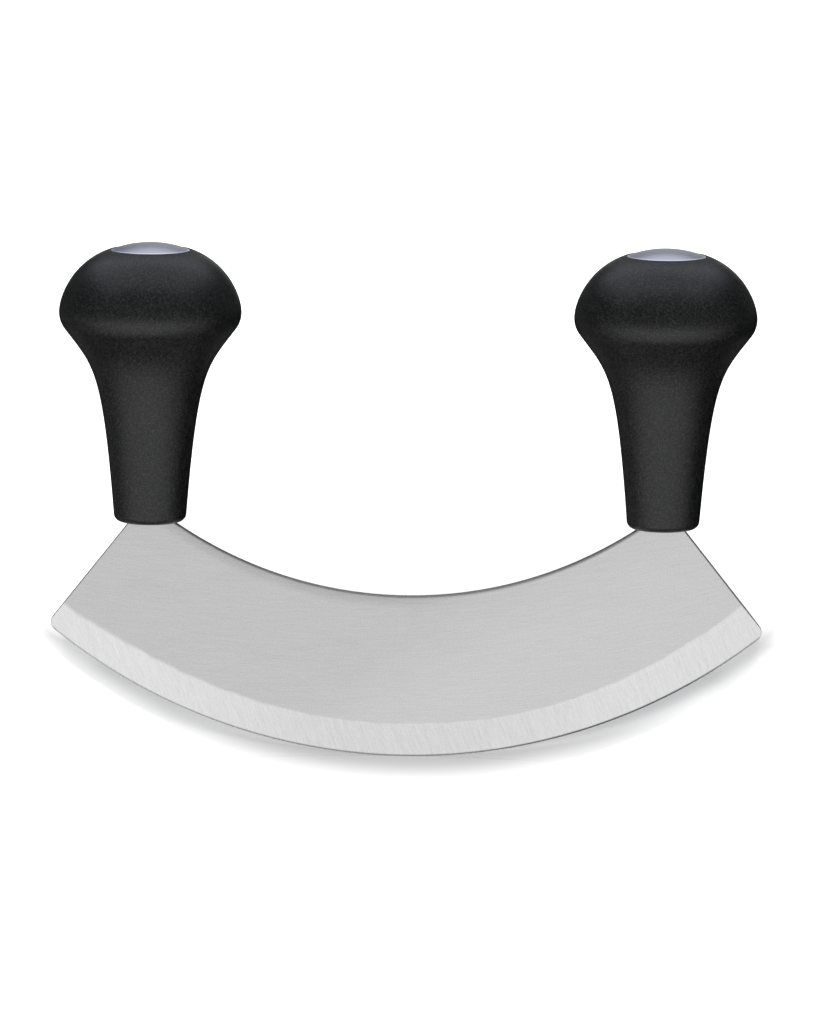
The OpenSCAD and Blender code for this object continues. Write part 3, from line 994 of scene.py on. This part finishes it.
class MEZZALUNA_OT_inner_pieces(bpy.types.Operator):
    """Give the cores, studs, washers and nuts their finishes"""

    bl_idname = "mezzaluna.inner_pieces"
    bl_label = "Finish the inner pieces"

    def execute(self, context):
        colours, axis = context.scene.mezzaluna_finish, context.scene.mezzaluna_grip.axis
        plastic, steel = core_plastic(colours), fastener_steel(axis, colours)
        finishes = {"grip_core": plastic, "tang_stud": steel, "washer": steel, "nut": steel}
        for side in SIDES:
            for name, finish in finishes.items():
                mesh = frame["nodes"][f"{side}_{name}"].data
                mesh.materials.clear()
                mesh.materials.append(finish)
        return {"FINISHED"}


# The stage


ROOM_TINT = (0.97, 1.02, 0.97)
SOFTBOX_TINT = (0.94, 0.97, 1.09)
FLOOR_TINT = (0.435, 0.43, 0.426)
SOFTBOX_SIZE, SOFTBOX_PLACE = (2.4, 2.13), (-0.1, 0.485, 1.22)
CARD_SIZE, CARD_PLACE = (1.2, 1.2), (0.0, 0.63, 0.5 * MM)

# The blade's slanted ends on its upright plane, and how far the shade stands to their left
TIP_REACH = 88.5 * MM
END_SLOPE = 1.3
SHADE_SHIFT = 1.2 * MM


def floor_finish(eye, radius):
    """Pale floor that is white to the camera and keeps the object's shadow.

    Each place is taken to where its line to the eye crosses the blade's upright plane. The shadow
    fades with its drop below the rocking edge there, and beside and above the slanted ends. The lamps
    cast the shadow, but its outline and depth there are painted: a glow that only the camera sees
    whitens the floor round it, and a darker floor colour deepens it.
    """
    material = bpy.data.materials.new("Pale floor")
    graph = emptied(material)
    x, y, _ = graph.parts(graph.node("ShaderNodeTexCoord").outputs["Object"])
    camera = Value(graph, graph.node("ShaderNodeLightPath").outputs["Is Camera Ray"])

    def edge_height(beside):
        return radius - graph.math("SQRT", radius**2 - beside * beside)

    near = -eye.y / (y - eye.y)
    plane_x = eye.x + (x - eye.x) * near - SHADE_SHIFT
    plane_z = eye.z * (1.0 - near)
    past_tips = abs(plane_x) - TIP_REACH

    # Painted shadow outline: a glow that only the camera sees makes the floor white where the shadow has
    # faded
    slim = graph.ramp(plane_x, 15, 40) * (0.4 * MM) + graph.ramp(plane_x, -55, -70) * (0.3 * MM)
    drop = edge_height(plane_x) - graph.largest(past_tips, 0.0) * 0.4 - plane_z + slim
    beside = graph.ramp(plane_x, 85.5, 101) + graph.ramp(plane_x, -86.5, -100)
    below = graph.ramp(drop, 0.6, 8) * 0.5 + graph.ramp(drop, 6, 9.5) * 0.5
    below = below + graph.ramp(abs(plane_x), 75, 40) * 0.04 + beside * 0.7
    end_height = edge_height(TIP_REACH) + graph.largest(-past_tips, 0.0) * END_SLOPE
    end_height = end_height + graph.ramp(plane_x, 0, 50) * (2.8 * MM)
    above = graph.ramp(end_height - plane_z, 6, -9)
    far = graph.ramp(graph.distance(x, y), 200, 500)
    white = graph.largest(below, above, beside, far)
    glow = graph.output("ShaderNodeEmission", None, camera * white)

    # Light slips through under a thin blade, so a painted shadow, a darker floor colour, carries the shade
    # on there
    under = y / (edge_height(x) + 0.1 * MM)
    under = graph.smooth(under, 4.4, 2.9) * graph.smooth(under, -1.35, -0.45)

    # Towards the tips the floor colour is darker, a painted shadow that deepens the shadow
    right = graph.ramp(plane_x, 30, 52) * 0.12 + graph.ramp(plane_x, 70, 89) * 0.25
    left = graph.ramp(plane_x, -52, -64) * 0.06 + graph.ramp(plane_x, -78, -88) * 0.15
    shade = (1.0 - under * 0.4) * (1.0 - right - left)
    pale = graph.output("ShaderNodeCombineColor", *(shade * part for part in FLOOR_TINT))
    matte = graph.output("ShaderNodeBsdfDiffuse", pale)
    both = graph.output("ShaderNodeAddShader", matte, glow)
    graph.node("ShaderNodeOutputMaterial", both)
    return material


def disc(name, radius, rings=12, sides=96):
    """A flat round floor at height 0."""
    points, faces = [(0.0, 0.0, 0.0)], []
    for ring in range(1, rings + 1):
        reach = radius * (ring / rings) ** 2
        for side in range(sides):
            turn = 2 * math.pi * side / sides
            points.append((reach * math.cos(turn), reach * math.sin(turn), 0.0))
    for side in range(sides):
        beside = (side + 1) % sides
        faces.append((0, 1 + side, 1 + beside))
        for ring in range(rings - 1):
            inner, outer = 1 + ring * sides, 1 + (ring + 1) * sides
            faces.append((inner + side, outer + side, outer + beside, inner + beside))
    mesh = bpy.data.meshes.new(name)
    mesh.from_pydata(points, [], faces)
    return placed(name, mesh)


def studio_world():
    """Soft surroundings: white to the camera, even to matte surfaces, and shaped for what shines.

    What shines sees a pale table in front, a dim room at the sides and a paler wall behind.
    """
    world = bpy.data.worlds.new("Soft studio")
    bpy.context.scene.world = world
    world.cycles.sampling_method = "NONE"
    graph = emptied(world)
    x, y, z = graph.parts(graph.node("ShaderNodeTexCoord").outputs["Generated"])
    path = graph.node("ShaderNodeLightPath").outputs
    rays = ("Camera", "Glossy", "Transmission")
    camera, glossy, through = (Value(graph, path[f"Is {kind} Ray"]) for kind in rays)
    shining = graph.largest(glossy, through)
    front = graph.smooth(-y, -0.25, 1.0)
    lit = 0.3 + graph.smooth(z, -1.0, -0.8) * 0.7
    table = (front + graph.smooth(-x, 0.2, 1.0) * 0.1) * lit * 1.2
    back_table = graph.smooth(-z, 0.3, 0.45) * graph.smooth(y, 0.55, 0.8) * 0.1
    horizon = front * (1.0 - graph.smooth(z, 0.0, 0.25)) * 0.18
    far_wall = graph.smooth(y, 0.85, 0.97) * graph.smooth(abs(x), 0.3, 0.1) * 0.5
    glare = graph.smooth(y * 0.643 + z * 0.766, 0.95, 0.995) * 0.42
    room = 0.05 + graph.smooth(-y, -0.2, 0.6) * 0.15 + horizon + far_wall + glare
    above = graph.smooth(z, -0.13, 0.03)
    reflected = table * (1.0 - above) + back_table + room * above
    level = shining * reflected + (1.0 - shining) * 0.35
    tint = graph.blend(above * (1.0 - camera), (1.0, 1.0, 1.0), ROOM_TINT)
    background = graph.output("ShaderNodeBackground", tint, graph.largest(camera, level))
    graph.node("ShaderNodeOutputWorld", background)


def area_light(name, size, place, way, power):
    """A level soft light that shines up (1) or down (-1) and doesn't show itself."""
    data = bpy.data.lights.new(name, "AREA")
    data.shape, data.energy = "RECTANGLE", power
    data.size, data.size_y = size
    light = added(name, data)
    light.location = place
    light.rotation_euler = (0.0 if way < 0 else math.pi, 0.0, 0.0)
    light.visible_camera = False
    return light


def receivers(name, thing):
    """A collection of one thing, for lights that reach nothing else."""
    group = bpy.data.collections.new(name)
    group.objects.link(thing)
    return group


class MEZZALUNA_OT_stage(bpy.types.Operator):
    """Set the camera, the pale floor and the soft lights"""

    bl_idname = "mezzaluna.stage"
    bl_label = "Set the stage"

    def execute(self, context):
        scene, settings = context.scene, context.scene.mezzaluna_stage
        lens = bpy.data.cameras.new("Camera")
        lens.lens, lens.sensor_width, lens.sensor_fit = settings.lens, 36.0, "AUTO"
        lens.clip_start, lens.clip_end = 0.05, 100.0
        camera = added("Camera", lens)
        back = Vector((0.0, -math.cos(settings.elevation), math.sin(settings.elevation)))
        back.rotate(Matrix.Rotation(settings.azimuth, 3, "Z"))
        level = Vector((math.cos(settings.azimuth), math.sin(settings.azimuth), 0.0))
        right = level * math.cos(settings.roll) + back.cross(level) * math.sin(settings.roll)
        turn = Matrix((right, back.cross(right), back)).transposed()
        place = Vector(settings.aim) + settings.distance * back
        camera.matrix_world = Matrix.Translation(place) @ turn.to_4x4()
        scene.camera = camera
        scene.view_settings.view_transform = "Standard"

        floor = disc("floor", settings.floor_radius)
        floor.data.materials.append(floor_finish(place, scene.mezzaluna_blade.edge_radius))
        floor.visible_glossy = False
        studio_world()
        softbox = area_light("overhead_softbox", SOFTBOX_SIZE, SOFTBOX_PLACE, -1, settings.softbox)
        softbox.data.color = SOFTBOX_TINT

        # A low lamp in front and a high one behind, which only lay the object's shadow on the floor
        ground = receivers("Lamps light the floor", floor)
        for name, height, turn, spread, power in (
            ("low_lamp", 15, settings.azimuth, 7, settings.low_lamp),
            ("high_lamp", 50, math.pi, 20, settings.high_lamp),
        ):
            data = bpy.data.lights.new(name, "SUN")
            data.energy, data.angle = power, math.radians(spread)
            lamp = added(name, data)
            lamp.rotation_euler = (math.radians(90 - height), 0.0, turn)
            lamp.light_linking.receiver_collection = ground

        # A card on the floor behind the object, which only the blade sees
        card = area_light("back_card", CARD_SIZE, CARD_PLACE, 1, settings.card)
        group = receivers("Card lights the blade", scene.objects["brushed_blade"])
        card.light_linking.receiver_collection = group
        return {"FINISHED"}


# Panel and registration


class MEZZALUNA_PT_workshop(bpy.types.Panel):
    """The steps that build the object, in order"""

    bl_idname = "MEZZALUNA_PT_workshop"
    bl_label = "Mezzaluna"
    bl_space_type = "VIEW_3D"
    bl_region_type = "UI"
    bl_category = "Mezzaluna"

    def draw(self, context):
        for step in STEPS:
            self.layout.operator(step.bl_idname)


GROUPS = {
    "mezzaluna_blade": BladeSizes,
    "mezzaluna_grip": GripSizes,
    "mezzaluna_cap": CapSizes,
    "mezzaluna_finish": FinishColours,
    "mezzaluna_stage": StageSettings,
}
STEPS = (
    MEZZALUNA_OT_blade,
    MEZZALUNA_OT_grip_sleeves,
    MEZZALUNA_OT_end_caps,
    MEZZALUNA_OT_inner_pieces,
    MEZZALUNA_OT_stage,
)


def register():
    for kind in (*GROUPS.values(), *STEPS, MEZZALUNA_PT_workshop):
        bpy.utils.register_class(kind)
    for name, group in GROUPS.items():
        setattr(bpy.types.Scene, name, PointerProperty(type=group))


def unregister():
    for name in GROUPS:
        delattr(bpy.types.Scene, name)
    for kind in reversed((*GROUPS.values(), *STEPS, MEZZALUNA_PT_workshop)):
        bpy.utils.unregister_class(kind)


def main():
    register()
    bpy.ops.mezzaluna.blade()
    bpy.ops.mezzaluna.grip_sleeves()
    bpy.ops.mezzaluna.end_caps()
    bpy.ops.mezzaluna.inner_pieces()
    bpy.ops.mezzaluna.stage()


if __name__ == "__main__":
    main()
